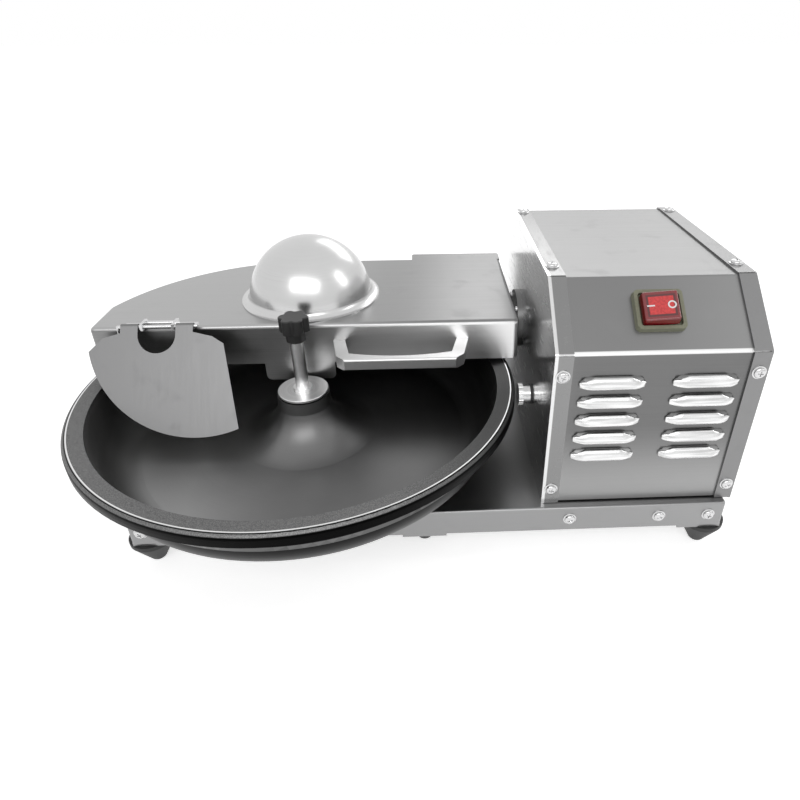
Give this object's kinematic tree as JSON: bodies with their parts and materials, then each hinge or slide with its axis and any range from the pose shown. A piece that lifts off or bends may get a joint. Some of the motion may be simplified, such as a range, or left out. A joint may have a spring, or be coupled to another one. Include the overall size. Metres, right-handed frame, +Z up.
{
  "type": "meat bowl cutter",
  "caption": "Bench bowl cutter: a turning bowl feeds spinning knives under a hinged, domed cover, driven from a louvred sheet-metal housing with a rocker switch.",
  "frame": {"origin": "middle of the footprint on the bench top, feet on z = 0", "axes": "+X from the bowl towards the drive housing, +Y towards the back, +Z up"},
  "size_m": [0.6824, 0.5022, 0.2986],
  "materials": {
    "stainless": "brushed, even",
    "polished_steel": "mirror polished",
    "zinc_screw": "bright zinc",
    "bowl_coating": "dark semi-gloss coating",
    "black_rubber": "matt",
    "black_plastic": "satin moulding",
    "red_cap": "glossy",
    "switch_rim": "glossy, slightly clear",
    "cast_metal": "as cast",
    "cast_iron": "machined casting",
    "motor_paint": "machine paint",
    "ground_steel": "ground",
    "bronze": "machined"
  },
  "bodies": {
    "frame": {"base_pan": "stainless", "foot_rails": "stainless", "rubber_feet": "black_rubber", "foot_studs": "zinc_screw", "base_screws": "zinc_screw", "side_plate_left": "polished_steel", "side_plate_right": "stainless", "housing_wrap": "stainless", "housing_screws": "zinc_screw", "switch_frame": "switch_rim", "gear_case": "cast_metal", "gear_case_lid": "cast_metal", "spindle_turret": "cast_metal", "spindle_bearings": "ground_steel", "worm_bearings": "ground_steel", "worm_pillow": "cast_metal", "bearing_barrel": "cast_iron", "knife_bearings": "ground_steel", "seal_flange": "cast_metal", "seal_screws": "zinc_screw", "motor_shell": "motor_paint", "motor_bolts": "zinc_screw", "stator": "cast_iron", "front_shield": "cast_metal", "rear_shield": "cast_metal", "motor_bearings": "ground_steel", "fan_cowl": "motor_paint", "knife_belt": "black_rubber", "worm_belt": "black_rubber", "hinge_post": "stainless", "hinge_pin": "polished_steel", "side_fitting": "polished_steel", "fitting_washer": "black_rubber", "cord_gland": "black_plastic", "capacitor": "black_plastic", "capacitor_clamp": "ground_steel"},
    "bowl": {"bowl": "bowl_coating", "spindle": "ground_steel", "worm_wheel": "bronze", "lock_disc": "polished_steel"},
    "lock_rod": {"lock_rod": "polished_steel"},
    "knob": {"star_knob": "black_plastic"},
    "worm": {"worm_shaft": "ground_steel", "worm_pulley": "cast_iron"},
    "rotor": {"rotor_shaft": "ground_steel", "motor_fan": "black_plastic", "motor_pulley": "cast_iron"},
    "knife": {"knife_shaft": "polished_steel", "knife_blades": "polished_steel", "knife_spacers": "polished_steel", "knife_nut": "polished_steel", "knife_pulley": "cast_iron"},
    "cover": {"cover_shell": "stainless", "dome": "polished_steel", "cover_handle": "stainless", "hinge_leaf": "stainless", "flap_wire": "polished_steel", "flap_bracket": "polished_steel"},
    "flap": {"flap": "stainless"},
    "rocker": {"rocker": "red_cap"}
  },
  "joints": [
    {"name": "bowl_spin", "type": "hinge", "parent": "frame", "child": "bowl", "pos_m": [-0.1104, -0.0226, 0], "axis": [0, 0, 1], "continuous": true},
    {"name": "lock_rise", "type": "slide", "parent": "bowl", "child": "lock_rod", "axis": [0, 0, 1], "range_m": [0, 0.0105]},
    {"name": "lock_turn", "type": "hinge", "parent": "lock_rod", "child": "knob", "pos_m": [-0.1104, -0.0226, 0.2145], "axis": [0, 0, 1], "range_deg": [0, 2160]},
    {"name": "worm_spin", "type": "hinge", "parent": "frame", "child": "worm", "pos_m": [-0.1104, 0.0164, 0.056], "axis": [1, 0, 0], "continuous": true},
    {"name": "motor_spin", "type": "hinge", "parent": "frame", "child": "rotor", "pos_m": [0.1916, -0.0026, 0.14], "axis": [1, 0, 0], "continuous": true},
    {"name": "knife_spin", "type": "hinge", "parent": "frame", "child": "knife", "pos_m": [-0.1104, 0.0894, 0.182], "axis": [1, 0, 0], "continuous": true},
    {"name": "cover_open", "type": "hinge", "parent": "frame", "child": "cover", "pos_m": [0.0696, 0.2214, 0.21], "axis": [-1, 0, 0], "range_deg": [0, 100]},
    {"name": "flap_swing", "type": "hinge", "parent": "cover", "child": "flap", "pos_m": [-0.2589, 0.0034, 0.221], "axis": [-1, 0, 0], "range_deg": [0, 75]},
    {"name": "rocker_tip", "type": "hinge", "parent": "frame", "child": "rocker", "pos_m": [0.2389, -0.08683, 0.27035], "axis": [0, 0.7593, 0.6507], "range_deg": [0, 16]}
  ],
  "couplings": [
    {"joint": "worm_spin", "follows": "bowl_spin", "ratio": 50},
    {"joint": "motor_spin", "follows": "bowl_spin", "ratio": 62.5},
    {"joint": "knife_spin", "follows": "bowl_spin", "ratio": 125},
    {"joint": "lock_turn", "follows": "lock_rise", "rad_per_m": 3590.4}
  ]
}
